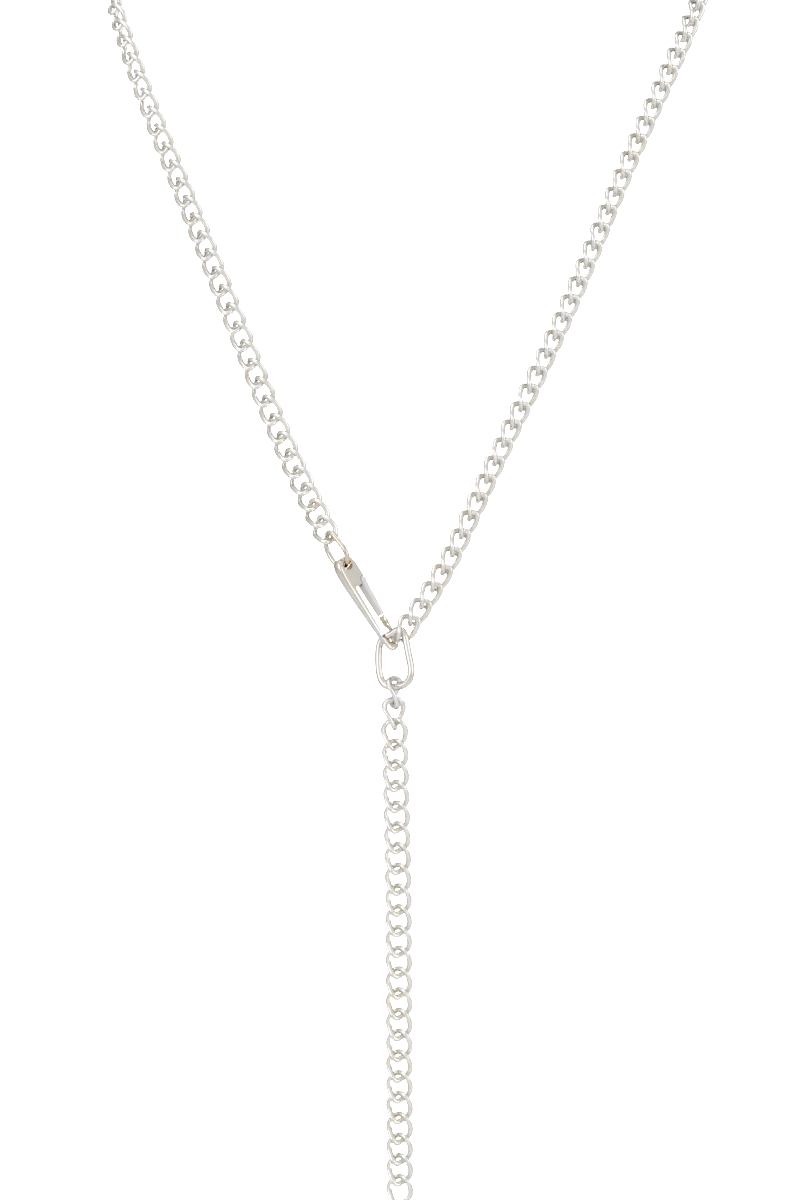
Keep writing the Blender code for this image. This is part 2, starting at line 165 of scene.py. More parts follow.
class NecklaceFittings(bpy.types.PropertyGroup):
    """Sizes of the connector, the jump ring and the clasp."""

    connector_width: bpy.props.FloatProperty(
        name="Connector width", description="Width of the oval connector", default=8.5 * MM, unit="LENGTH"
    )
    connector_length: bpy.props.FloatProperty(
        name="Connector length", description="Length of the oval connector", default=12.5 * MM, unit="LENGTH"
    )
    connector_wire: bpy.props.FloatProperty(
        name="Connector wire", description="Thickness of the connector's wire", default=1.58 * MM,
        unit="LENGTH",
    )
    connector_squareness: bpy.props.FloatProperty(
        name="Connector squareness", description="Two is an ellipse, more is squarer", default=4.0,
        min=2, max=6,
    )
    ring_width: bpy.props.FloatProperty(
        name="Ring width", description="Width of the jump ring", default=6.4 * MM, unit="LENGTH"
    )
    ring_length: bpy.props.FloatProperty(
        name="Ring length", description="Length of the jump ring", default=8.3 * MM, unit="LENGTH"
    )
    ring_wire: bpy.props.FloatProperty(
        name="Ring wire", description="Thickness of the jump ring's wire", default=1.15 * MM, unit="LENGTH"
    )
    ring_squareness: bpy.props.FloatProperty(
        name="Ring squareness", description="Two is an ellipse, more is squarer", default=2.8, min=2, max=6
    )
    clasp_length: bpy.props.FloatProperty(
        name="Clasp length", description="Length of the clasp", default=21.4 * MM, unit="LENGTH"
    )
    clasp_width: bpy.props.FloatProperty(
        name="Clasp width", description="Width of the clasp", default=4.7 * MM, unit="LENGTH"
    )
    clasp_depth: bpy.props.FloatProperty(
        name="Clasp depth", description="Thickness of the clasp", default=1.75 * MM, unit="LENGTH"
    )
    clasp_flank: bpy.props.FloatProperty(
        name="Clasp flank", description="Width of the clasp's rounded flanks", default=0.7 * MM, unit="LENGTH"
    )


class NecklaceFinish(bpy.types.PropertyGroup):
    """Colours and polish."""

    chain_colour: bpy.props.FloatVectorProperty(
        name="Chain silver", description="Colour of the chain", subtype="COLOR", default=(0.93, 0.905, 0.85)
    )
    fitting_colour: bpy.props.FloatVectorProperty(
        name="Fitting silver", description="Colour of the clasp and connector", subtype="COLOR",
        default=(0.83, 0.80, 0.745),
    )
    # Painted shade: a dark rim colour mixed in where the silver turns away from the eye, in place of the dark
    # room that polished silver reflects there.
    painted_rim_shade_colour: bpy.props.FloatVectorProperty(
        name="Rim", description="Colour of the silver where it turns away from the eye", subtype="COLOR",
        default=(0.36, 0.34, 0.32),
    )
    painted_rim_shade_share: bpy.props.FloatProperty(
        name="Rim share", description="How much the rim colour shows", default=0.75, min=0, max=1
    )
    # The jump ring's own silver with a painted brown reflection in it, darker and warmer than the chain.
    ring_silver_and_painted_reflection: bpy.props.FloatVectorProperty(
        name="Ring silver", description="Colour of the jump ring", subtype="COLOR", default=(0.74, 0.69, 0.61)
    )
    # Painted shade and warm reflection: the walls of the slot and hole get a darker, warmer silver where
    # shade falls inside them.
    slot_painted_shade_colour: bpy.props.FloatVectorProperty(
        name="Slot silver", description="Colour of the tarnished walls of the clasp's slot and hole",
        subtype="COLOR", default=(0.68, 0.56, 0.43),
    )
    warm_colour: bpy.props.FloatVectorProperty(
        name="Warm tint", description="Colour of the faint tarnish", subtype="COLOR",
        default=(0.82, 0.70, 0.55),
    )
    cool_colour: bpy.props.FloatVectorProperty(
        name="Cool tint", description="Colour of the faint cool sheen", subtype="COLOR",
        default=(0.82, 0.86, 0.92),
    )
    chain_roughness: bpy.props.FloatProperty(
        name="Chain roughness", description="Polish of the chain", default=0.18, min=0, max=1
    )
    fitting_roughness: bpy.props.FloatProperty(
        name="Fitting roughness", description="Polish of the fittings", default=0.06, min=0, max=1
    )
    floor_colour: bpy.props.FloatVectorProperty(
        name="Floor", description="Colour of the studio's floor and backdrop", subtype="COLOR",
        default=(0.8, 0.8, 0.8),
    )


# Frames and routes


def unit(vector):
    """The vector at length one."""
    return Vector(vector).normalized()


def signed_power(value, power):
    """A power of a value's size, with the value's sign."""
    return math.copysign(abs(value) ** power, value)


def facing_vector(degrees):
    """The level direction that a chain's face looks in, in degrees from the front round to the right."""
    angle = math.radians(degrees)
    return Vector((math.sin(angle), -math.cos(angle), 0))


def frame(origin, along, face):
    """A frame at origin whose Z runs along and whose -Y looks towards face."""
    along = unit(along)
    away = -unit(face - along * face.dot(along))
    across = away.cross(along)
    turned = Matrix((across, away, along)).transposed().to_4x4()
    return Matrix.Translation(origin) @ turned


def seat(half_width, half_length, squareness, angle):
    """An oval centre line's point whose outward direction is at an angle from +Z towards +X."""
    power = 1 / (squareness - 1)
    x = signed_power(half_width * math.sin(angle), power)
    z = signed_power(half_length * math.cos(angle), power)
    size = (abs(x) ** squareness + abs(z) ** squareness) ** (1 / squareness)
    return Vector((half_width * x / size, 0, half_length * z / size))


def spline(places, values, samples):
    """The natural cubic curve through values at places, read at samples."""
    count = len(places)
    gaps = np.diff(places)
    slopes = np.diff(values, axis=0) / gaps[:, None]
    system = np.eye(count)
    target = np.zeros(values.shape)
    for i in range(1, count - 1):
        system[i, i - 1] = gaps[i - 1]
        system[i, i] = 2 * (gaps[i - 1] + gaps[i])
        system[i, i + 1] = gaps[i]
        target[i] = 6 * (slopes[i] - slopes[i - 1])
    bends = np.linalg.solve(system, target)
    index = np.clip(np.searchsorted(places, samples) - 1, 0, count - 2)
    gap = gaps[index][:, None]
    after = samples[:, None] - places[index][:, None]
    before = places[index + 1][:, None] - samples[:, None]
    return (
        (bends[index] * before**3 + bends[index + 1] * after**3) / (6 * gap)
        + (values[index] / gap - bends[index] * gap / 6) * before
        + (values[index + 1] / gap - bends[index + 1] * gap / 6) * after
    )


class Route:
    """A smooth line through a few points, measured along its length."""

    SAMPLES = 4000

    def __init__(self, start, rows, end=None):
        rows = np.array([start, *rows] if end is None else [start, *rows, end])
        steps = np.linalg.norm(np.diff(rows[:, :3], axis=0), axis=1)
        places = np.concatenate([[0], np.cumsum(steps)])
        self.rows = spline(places, rows, np.linspace(0, places[-1], self.SAMPLES))
        steps = np.linalg.norm(np.diff(self.rows[:, :3], axis=0), axis=1)
        self.distances = np.concatenate([[0], np.cumsum(steps)])
        self.length = float(self.distances[-1])

    def read(self, distance):
        """The point and the facing at a distance from the start."""
        x, y, z, facing = (np.interp(distance, self.distances, column) for column in self.rows.T)
        return Vector((x, y, z)), float(facing)

    def frame(self, distance, reach):
        """The frame at a distance: Z along the route, -Y the way that the chain faces."""
        before, _ = self.read(max(distance - reach, 0))
        after, _ = self.read(min(distance + reach, self.length))
        place, facing = self.read(distance)
        return frame(place, after - before, facing_vector(facing))


class Layout:
    """Where every piece of the necklace hangs, worked out from the sizes."""

    def __init__(self, chain, fittings):
        turned = Matrix.Rotation(-CONNECTOR_YAW, 4, "Z") @ Matrix.Rotation(-CONNECTOR_TILT, 4, "Y")
        self.connector = Matrix.Translation(CONNECTOR_CENTRE) @ turned
        half_width = (fittings.connector_width - fittings.connector_wire) / 2
        half_length = (fittings.connector_length - fittings.connector_wire) / 2
        seats = [
            self.connector @ seat(half_width, half_length, fittings.connector_squareness, angle)
            for angle in (HOOK_SEAT_ANGLE, STRAND_SEAT_ANGLE, TAIL_SEAT_ANGLE)
        ]
        level = frame(Vector(), CLASP_LEAN, Vector((0, -1, 0)))
        face = level.to_3x3() @ Vector((math.sin(CLASP_ROLL), -math.cos(CLASP_ROLL), 0))
        self.clasp = frame(Vector(), CLASP_LEAN, face)
        self.clasp.translation = seats[0] - self.clasp @ Vector((0, 0, eye_height(fittings)))
        self.ring = frame(Vector(), RING_LEAN, facing_vector(RING_FACING))
        ring_half = (fittings.ring_length - fittings.ring_wire) / 2
        foot = self.clasp @ Vector((0, 0, hole_height(fittings)))
        self.ring.translation = foot + unit(RING_LEAN) * ring_half
        ring_top = self.ring @ Vector((0, 0, ring_half))

        reach = chain.length * REACH_SHARE
        half_link = (chain.length - chain.wire) / 2
        pitch = chain.length - 2 * chain.wire - chain.play
        start = half_link - (fittings.connector_wire / 2 + GAP + chain.wire / 2)
        rows = [
            (x * LOOP_HALF_WIDTH, y * LOOP_DEPTH, z * LOOP_DROP, facing) for x, y, z, facing in LOOP_ROUTE
        ]
        loop = Route((*seats[1], END_FACING_RIGHT), rows, (*ring_top, END_FACING_LEFT))
        end = loop.length + fittings.ring_wire / 2 + GAP + chain.wire / 2 - half_link
        steps = math.ceil((end - start) / pitch)
        places = [start + (end - start) * i / steps for i in range(steps + 1)]
        nape = min(range(len(places)), key=lambda i: loop.read(places[i])[0].length)
        frames = [loop.frame(place, reach) for place in places]
        self.right = frames[: nape + 1]
        self.left = frames[nape + 1 :]
        rows = [(*(seats[2] + Vector(shares) * TAIL_LINKS * pitch), facing) for *shares, facing in TAIL_ROUTE]
        hanging = Route((*seats[2], END_FACING_TAIL), rows)
        self.tail = [hanging.frame(start + i * pitch, reach) for i in range(TAIL_LINKS)]


# Clasp sizes, in the clasp's own frame with its head up

HOLE_RADIUS = 1.15 * MM
HOLE_WALL = 0.6 * MM
SLOT_HALF = 1.05 * MM
SLOT_TOP = 4.11 * MM
NOSE_WALL = 2.4 * MM
EYE_RADIUS = 1.55 * MM
LEVER_EYE_RADIUS = 0.8 * MM
PIVOT = (SLOT_HALF + LEVER_EYE_RADIUS, 4.6 * MM)
LEVER_LENGTH = 7.6 * MM
LEVER_TIP_SLANT = 0.6 * MM
RIVET_RADIUS = 0.45 * MM
RIVET_RISE = 0.12 * MM
SEAM = 0.2 * MM
TONGUE_HALF = 0.2 * MM
POCKET_HALF = TONGUE_HALF + SEAM
TONGUE_RADIUS = 0.65 * MM
TONGUE_REACH = 1.9 * MM
CLASP_TAPER = 0.22
CLASP_DEPTH_TAPER = 0.45
CLASP_SQUARENESS = 4.0


def hole_height(fittings):
    """The height of the ring hole's middle."""
    return fittings.clasp_length / 2 - HOLE_WALL - HOLE_RADIUS


def eye_height(fittings):
    """The height of the middle of the eye at the nose."""
    return NOSE_WALL + EYE_RADIUS - fittings.clasp_length / 2


def clasp_outline(fittings):
    """The clasp's outer outline: a slim bar with rounded ends that is a little wider at its head."""
    half_width = fittings.clasp_width / 2
    half_length = fittings.clasp_length / 2
    right = []
    for i in range(OUTLINE_STEPS + 1):
        share = -math.cos(math.pi * i / OUTLINE_STEPS)
        girth = max(1 - abs(share) ** CLASP_SQUARENESS, 0) ** (1 / CLASP_SQUARENESS)
        right.append((half_width * girth * (1 + CLASP_TAPER * share), share * half_length))
    left = [(-x, z) for x, z in reversed(right[1:-1])]
    return right + left


def arc(centre, radius, start, end, steps=ROUND_STEPS):
    """Points along an arc, from one angle to another, in degrees from +X towards +Z."""
    angles = [math.radians(start + (end - start) * i / steps) for i in range(steps + 1)]
    return [(centre[0] + radius * math.cos(a), centre[1] + radius * math.sin(a)) for a in angles]


def slot_outline(fittings):
    """The slot with its round eye at the nose."""
    corner = math.degrees(math.acos(SLOT_HALF / EYE_RADIUS))
    eye = arc((0, eye_height(fittings)), EYE_RADIUS, 180 - corner, 360 + corner, EYE_STEPS)
    return [(SLOT_HALF, SLOT_TOP), (-SLOT_HALF, SLOT_TOP), *eye]


def lever_outline(fittings, gap):
    """The lever's side view with its round end about the pivot, made larger all round by a gap."""
    x, z = PIVOT
    radius = LEVER_EYE_RADIUS + gap
    tip = z - LEVER_LENGTH - gap
    outer = fittings.clasp_width
    return [
        (x - radius, tip - LEVER_TIP_SLANT / 2),
        (outer, tip + LEVER_TIP_SLANT / 2),
        (outer, z + gap),
        (x + radius, z + gap),
        *arc(PIVOT, radius, 0, 180)[1:],
    ]


# Modelling


def deselect():
    """Leaves object mode with nothing selected."""
    if bpy.context.object and bpy.context.object.mode != "OBJECT":
        bpy.ops.object.mode_set(mode="OBJECT")
    bpy.ops.object.select_all(action="DESELECT")


def pick(piece):
    """Makes a piece the only selected and active one."""
    deselect()
    piece.select_set(True)
    bpy.context.view_layer.objects.active = piece


def bent_wire(name, width, length, wire, handle, steps, twist=0.0):
    """A closed oval of round wire in the XZ plane, turned along its length by twist."""
    deselect()
    bpy.ops.curve.primitive_bezier_circle_add(radius=1)
    oval = bpy.context.object
    oval.name = name
    oval.rotation_euler = (math.pi / 2, 0, 0)
    bpy.ops.object.transform_apply(location=False, rotation=True, scale=False)
    half_width = (width - wire) / 2
    half_length = (length - wire) / 2
    for point in oval.data.splines[0].bezier_points:
        point.handle_left_type = "FREE"
        point.handle_right_type = "FREE"
        left = (point.handle_left - point.co) * handle / ROUND_HANDLE
        right = (point.handle_right - point.co) * handle / ROUND_HANDLE
        place = point.co.copy()
        stretch = Matrix.Diagonal((half_width, 1, half_length))
        point.co = stretch @ place
        point.handle_left = stretch @ (place + left)
        point.handle_right = stretch @ (place + right)
    oval.data.resolution_u = steps
    oval.data.bevel_depth = wire / 2
    oval.data.bevel_resolution = WIRE_STEPS
    bpy.ops.object.convert(target="MESH")
    oval = bpy.context.object
    if twist:
        turn = oval.modifiers.new("twist", "SIMPLE_DEFORM")
        turn.deform_method = "TWIST"
        turn.deform_axis = "Z"
        turn.angle = -twist * length / (2 * half_length)
        bpy.ops.object.modifier_apply(modifier=turn.name)
    tidy_mesh(oval)
    return oval


def tidy_mesh(piece):
    """Merges doubles and points the faces outwards."""
    pick(piece)
    bpy.ops.object.mode_set(mode="EDIT")
    bpy.ops.mesh.select_all(action="SELECT")
    bpy.ops.mesh.remove_doubles(threshold=MERGE_DISTANCE)
    bpy.ops.mesh.normals_make_consistent(inside=False)
    bpy.ops.object.mode_set(mode="OBJECT")


def settle(piece, placed):
    """Sets a piece in its place and leaves its object at the origin."""
    pick(piece)
    piece.matrix_world = placed
    bpy.ops.object.transform_apply(location=True, rotation=True, scale=True)


def plate(name, outline, thickness, rounding=0.0):
    """A flat plate of an outline in the XZ plane, with its rim rounded by a radius."""
    deselect()
    curve = bpy.data.curves.new(name, "CURVE")
    curve.dimensions = "2D"
    curve.fill_mode = "BOTH"
    curve.extrude = thickness / 2 - rounding
    curve.bevel_depth = rounding
    curve.bevel_resolution = FLANK_STEPS
    curve.offset = -rounding
    line = curve.splines.new("POLY")
    line.points.add(len(outline) - 1)
    for point, (x, z) in zip(line.points, outline):
        point.co = (x, z, 0, 1)
    line.use_cyclic_u = True
    drawn = bpy.data.objects.new(name, curve)
    bpy.context.scene.collection.objects.link(drawn)
    pick(drawn)
    bpy.ops.object.convert(target="MESH")
    drawn = bpy.context.object
    drawn.rotation_euler = (math.pi / 2, 0, 0)
    bpy.ops.object.transform_apply(location=False, rotation=True, scale=False)
    tidy_mesh(drawn)
    return drawn


def clasp_blank(name, fittings):
    """The clasp's solid form: a plate with rounded flanks that is thicker at its head than at its nose."""
    blank = plate(name, clasp_outline(fittings), fittings.clasp_depth, fittings.clasp_flank)
    thin = blank.modifiers.new("taper", "SIMPLE_DEFORM")
    thin.deform_method = "TAPER"
    thin.deform_axis = "Z"
    thin.lock_x = True
    thin.factor = 2 * CLASP_DEPTH_TAPER
    bpy.ops.object.modifier_apply(modifier=thin.name)
    return blank


def bar(name, radius, length, place):
    """A round bar along Y at a place in the XZ plane."""
    deselect()
    bpy.ops.mesh.primitive_cone_add(
        vertices=BAR_SIDES,
        radius1=radius,
        radius2=radius,
        depth=length,
        location=place,
        rotation=(math.pi / 2, 0, 0),
    )
    piece = bpy.context.object
    piece.name = name
    bpy.ops.object.transform_apply(location=True, rotation=True, scale=True)
    return piece


def carve(piece, tool, operation="DIFFERENCE"):
    """Cuts a tool out of a piece, joins it on or keeps what they share, and puts the tool away."""
    pick(piece)
    step = piece.modifiers.new(tool.name, "BOOLEAN")
    step.object = tool
    step.operation = operation
    step.solver = "EXACT"
    step.material_mode = "TRANSFER"
    bpy.ops.object.modifier_apply(modifier=step.name)
    mesh = tool.data
    bpy.data.objects.remove(tool)
    bpy.data.meshes.remove(mesh)


def smooth(piece):
    """Shades a piece smooth apart from its sharp edges."""
    pick(piece)
    bpy.ops.object.shade_smooth_by_angle(angle=math.radians(SMOOTH_DEGREES))


def handle_of(squareness):
    """The handle share at which a Bezier oval passes through a superellipse's diagonal point."""
    return (8 * 0.5 ** (1 / squareness) - 4) / 3


# Materials

# The scale of each pattern's noise over a metre, and how the scratches are drawn out and turned
CLOUD_GRAIN = 220
SMEAR_GRAIN = 900
SCRATCH_GRAIN = 5200
SCRATCH_STRETCH = (1, 1, 0.12)
SCRATCH_SLANT = (0.5, 0.4, 0)
BUMP_STRENGTH = 0.12
BUMP_HEIGHT = 0.02 * MM

# Where the painted shade on the rim starts and is full, from 0 for square on to the eye to 1 for edge on
PAINTED_RIM_START = 0.18
PAINTED_RIM_END = 0.75


def wear_group():
    """Handling marks, faint tarnish and sheen, shared by all the silver."""
    name = "silver_wear"
    if name in bpy.data.node_groups:
        return bpy.data.node_groups[name]
    group = bpy.data.node_groups.new(name, "ShaderNodeTree")
    face = group.interface
    face.new_socket("Vector", in_out="INPUT", socket_type="NodeSocketVector")
    for socket in ("Silver", "Warm", "Cool"):
        face.new_socket(socket, in_out="INPUT", socket_type="NodeSocketColor")
    for socket in ("Tint", "Polish", "Marks"):
        face.new_socket(socket, in_out="INPUT", socket_type="NodeSocketFloat")
    face.new_socket("Color", in_out="OUTPUT", socket_type="NodeSocketColor")
    face.new_socket("Roughness", in_out="OUTPUT", socket_type="NodeSocketFloat")
    face.new_socket("Height", in_out="OUTPUT", socket_type="NodeSocketFloat")
    nodes = group.nodes
    links = group.links
    given = nodes.new("NodeGroupInput")
    out = nodes.new("NodeGroupOutput")

    def noise(grain, detail, roughness, place):
        node = nodes.new("ShaderNodeTexNoise")
        node.inputs["Scale"].default_value = grain
        node.inputs["Detail"].default_value = detail
        node.inputs["Roughness"].default_value = roughness
        links.new(place, node.inputs["Vector"])
        return node.outputs["Fac"]

    def spread(value, low, high, to_low=0.0, to_high=1.0):
        node = nodes.new("ShaderNodeMapRange")
        node.inputs["From Min"].default_value = low
        node.inputs["From Max"].default_value = high
        node.inputs["To Min"].default_value = to_low
        node.inputs["To Max"].default_value = to_high
        links.new(value, node.inputs["Value"])
        return node.outputs["Result"]

    def multiply(a, b):
        node = nodes.new("ShaderNodeMath")
        node.operation = "MULTIPLY"
        links.new(a, node.inputs[0])
        links.new(b, node.inputs[1])
        return node.outputs["Value"]

    def blend(factor, a, b):
        node = nodes.new("ShaderNodeMix")
        node.data_type = "RGBA"
        links.new(factor, node.inputs["Factor"])
        links.new(a, node.inputs["A"])
        links.new(b, node.inputs["B"])
        return node.outputs["Result"]

    clouds = noise(CLOUD_GRAIN, 3, 0.5, given.outputs["Vector"])
    warm = multiply(spread(clouds, 0.5, 0.72), given.outputs["Tint"])
    cool = multiply(spread(clouds, 0.5, 0.3), given.outputs["Tint"])
    tinted = blend(warm, given.outputs["Silver"], given.outputs["Warm"])
    links.new(blend(cool, tinted, given.outputs["Cool"]), out.inputs["Color"])
    smear = noise(SMEAR_GRAIN, 4, 0.6, given.outputs["Vector"])
    add = nodes.new("ShaderNodeMath")
    add.operation = "ADD"
    links.new(given.outputs["Polish"], add.inputs[0])
    links.new(multiply(spread(smear, 0.45, 0.8, 0, 0.5), given.outputs["Marks"]), add.inputs[1])
    links.new(add.outputs["Value"], out.inputs["Roughness"])
    stretch = nodes.new("ShaderNodeMapping")
    stretch.inputs["Scale"].default_value = SCRATCH_STRETCH
    stretch.inputs["Rotation"].default_value = SCRATCH_SLANT
    links.new(given.outputs["Vector"], stretch.inputs["Vector"])
    scratches = noise(SCRATCH_GRAIN, 2, 0.5, stretch.outputs["Vector"])
    links.new(multiply(scratches, given.outputs["Marks"]), out.inputs["Height"])
    return group


def silver(name, colour, roughness, tint, marks):
    """A polished silver with its own colour and wear, and painted shade that darkens it where it turns away
    from the eye.
    """
    finish = bpy.context.scene.necklace_finish
    material = bpy.data.materials.new(name)
    material.use_nodes = True
    nodes = material.node_tree.nodes
    links = material.node_tree.links
    shader = nodes["Principled BSDF"]
    shader.inputs["Metallic"].default_value = 1
    place = nodes.new("ShaderNodeTexCoord")
    wear = nodes.new("ShaderNodeGroup")
    wear.node_tree = wear_group()
    links.new(place.outputs["Object"], wear.inputs["Vector"])
    wear.inputs["Silver"].default_value = (*colour, 1)
    wear.inputs["Warm"].default_value = (*finish.warm_colour, 1)
    wear.inputs["Cool"].default_value = (*finish.cool_colour, 1)
    wear.inputs["Tint"].default_value = tint
    wear.inputs["Polish"].default_value = roughness
    wear.inputs["Marks"].default_value = marks
    # Painted shade on the rim: the facing blends the dark rim colour in towards the silhouette.
    view = nodes.new("ShaderNodeLayerWeight")
    view.inputs["Blend"].default_value = 0.5
    rim = nodes.new("ShaderNodeMapRange")
    rim.inputs["From Min"].default_value = PAINTED_RIM_START
    rim.inputs["From Max"].default_value = PAINTED_RIM_END
    rim.inputs["To Max"].default_value = finish.painted_rim_shade_share
    links.new(view.outputs["Facing"], rim.inputs["Value"])
    painted_shade_mix = nodes.new("ShaderNodeMix")
    painted_shade_mix.data_type = "RGBA"
    links.new(rim.outputs["Result"], painted_shade_mix.inputs["Factor"])
    links.new(wear.outputs["Color"], painted_shade_mix.inputs["A"])
    painted_shade_mix.inputs["B"].default_value = (*finish.painted_rim_shade_colour, 1)
    links.new(painted_shade_mix.outputs["Result"], shader.inputs["Base Color"])
    links.new(wear.outputs["Roughness"], shader.inputs["Roughness"])
    bump = nodes.new("ShaderNodeBump")
    bump.inputs["Strength"].default_value = BUMP_STRENGTH
    bump.inputs["Distance"].default_value = BUMP_HEIGHT
    links.new(wear.outputs["Height"], bump.inputs["Height"])
    links.new(bump.outputs["Normal"], shader.inputs["Normal"])
    return material


def dress(piece, node, body, material):
    """Gives a finished piece its silver, if it has none, its body and the CAD node that it stands for."""
    piece.name = node + "_fine"
    piece.data.name = piece.name
    if not piece.data.materials:
        piece.data.materials.append(material)
    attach(piece, body)
    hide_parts(node)


# Operators


def settings():
    """The scene's sizes and finish."""
    scene = bpy.context.scene
    return scene.necklace_chain, scene.necklace_fittings, scene.necklace_finish


class NECKLACE_OT_chains(bpy.types.Operator):
    """Model one curb link and hang its copies along the loop and the tail"""

    bl_idname = "necklace.chains"
    bl_label = "Add the chains"

    def execute(self, context):
        chain, fittings, finish = settings()
        layout = Layout(chain, fittings)
        handle = handle_of(chain.squareness)
        link = bent_wire("link", chain.width, chain.length, chain.wire, handle, LINK_STEPS, chain.twist)
        smooth(link)
        strands = {"chain_right": layout.right, "chain_left": layout.left, "chain_tail": layout.tail}
        for node, frames in strands.items():
            copies = []
            for placed in frames:
                copy = bpy.data.objects.new(node, link.data.copy())
                context.scene.collection.objects.link(copy)
                copy.matrix_world = placed
                copies.append(copy)
            deselect()
            for copy in copies:
                copy.select_set(True)
            context.view_layer.objects.active = copies[0]
            bpy.ops.object.join()
            piece = context.object
            bpy.ops.object.transform_apply(location=True, rotation=True, scale=True)
            metal = silver(node + "_silver", finish.chain_colour, finish.chain_roughness, *CHAIN_WEAR)
            dress(piece, node, "necklace", metal)
        bpy.data.objects.remove(link)
        return {"FINISHED"}


class NECKLACE_OT_connector(bpy.types.Operator):
    """Bend the oval connector link"""

    bl_idname = "necklace.connector"
    bl_label = "Add the connector"

    def execute(self, context):
        chain, fittings, finish = settings()
        oval = bent_wire(
            "connector", fittings.connector_width, fittings.connector_length, fittings.connector_wire,
            handle_of(fittings.connector_squareness), FITTING_STEPS,
        )
        smooth(oval)
        settle(oval, Layout(chain, fittings).connector)
        metal = silver("connector_silver", finish.fitting_colour, finish.fitting_roughness, *CONNECTOR_WEAR)
        dress(oval, "connector_link", "necklace", metal)
        return {"FINISHED"}


class NECKLACE_OT_ring(bpy.types.Operator):
    """Bend the clasp's jump ring"""

    bl_idname = "necklace.ring"
    bl_label = "Add the jump ring"

    def execute(self, context):
        chain, fittings, finish = settings()
        oval = bent_wire(
            "ring", fittings.ring_width, fittings.ring_length, fittings.ring_wire,
            handle_of(fittings.ring_squareness), FITTING_STEPS,
        )
        smooth(oval)
        settle(oval, Layout(chain, fittings).ring)
        # The ring's colour carries its silver and a painted brown reflection.
        metal = silver("ring_silver", finish.ring_silver_and_painted_reflection, finish.fitting_roughness, *RING_WEAR)
        dress(oval, "clasp_ring", "necklace", metal)
        return {"FINISHED"}


class NECKLACE_OT_clasp_body(bpy.types.Operator):
    """Cut the clasp's body from a rounded bar"""

    bl_idname = "necklace.clasp_body"
    bl_label = "Add the clasp's body"

    def execute(self, context):
        chain, fittings, finish = settings()
        depth = fittings.clasp_depth
        body = clasp_blank("clasp_body", fittings)
        metal = silver("clasp_silver", finish.fitting_colour, finish.fitting_roughness, *CLASP_WEAR)
        # The slot and hole walls take the darker, warmer silver of painted shade and warm reflection.
        painted_shade_walls = silver("slot_painted_shade_silver", finish.slot_painted_shade_colour, finish.fitting_roughness, *SLOT_WEAR)
        body.data.materials.append(metal)
        hole = bar("ring_hole", HOLE_RADIUS, 2 * depth, (0, 0, hole_height(fittings)))
        slot = plate("slot", slot_outline(fittings), 2 * depth)
        for tool in (hole, slot):
            tool.data.materials.append(painted_shade_walls)
            carve(body, tool)
        carve(body, plate("window", lever_outline(fittings, SEAM), 2 * depth))
        x, z = PIVOT
        root = z + TONGUE_REACH
        outline = [(x + TONGUE_RADIUS, root), (x - TONGUE_RADIUS, root), *arc(PIVOT, TONGUE_RADIUS, 180, 360)]
        carve(body, plate("tongue", outline, 2 * TONGUE_HALF), "UNION")
        smooth(body)
        settle(body, Layout(chain, fittings).clasp)
        dress(body, "clasp_body", "necklace", metal)
        return {"FINISHED"}


class NECKLACE_OT_clasp_lever(bpy.types.Operator):
    """Cut the lever to the same bar and add its rivet"""

    bl_idname = "necklace.clasp_lever"
    bl_label = "Add the lever"

    def execute(self, context):
        chain, fittings, finish = settings()
        depth = fittings.clasp_depth
        lever = clasp_blank("clasp_lever", fittings)
        carve(lever, plate("blank", lever_outline(fittings, 0), 2 * depth), "INTERSECT")
        x, z = PIVOT
        side = 2 * LEVER_EYE_RADIUS
        low = z - TONGUE_RADIUS - SEAM
        high = z + side
        pocket = [(x - side, low), (x + side, low), (x + side, high), (x - side, high)]
        carve(lever, plate("fork", pocket, 2 * POCKET_HALF))
        share = 2 * z / fittings.clasp_length
        cheek = depth / 2 * (1 + CLASP_DEPTH_TAPER * share)
        rivet = bar("rivet", RIVET_RADIUS, 2 * (cheek + RIVET_RISE), (x, 0, z))
        carve(rivet, bar("rivet_middle", 2 * RIVET_RADIUS, 2 * POCKET_HALF, (x, 0, z)))
        carve(lever, rivet, "UNION")
        smooth(lever)
        settle(lever, Layout(chain, fittings).clasp)
        metal = silver("lever_silver", finish.fitting_colour, finish.fitting_roughness, *LEVER_WEAR)
        dress(lever, "clasp_lever", "lever", metal)
        return {"FINISHED"}


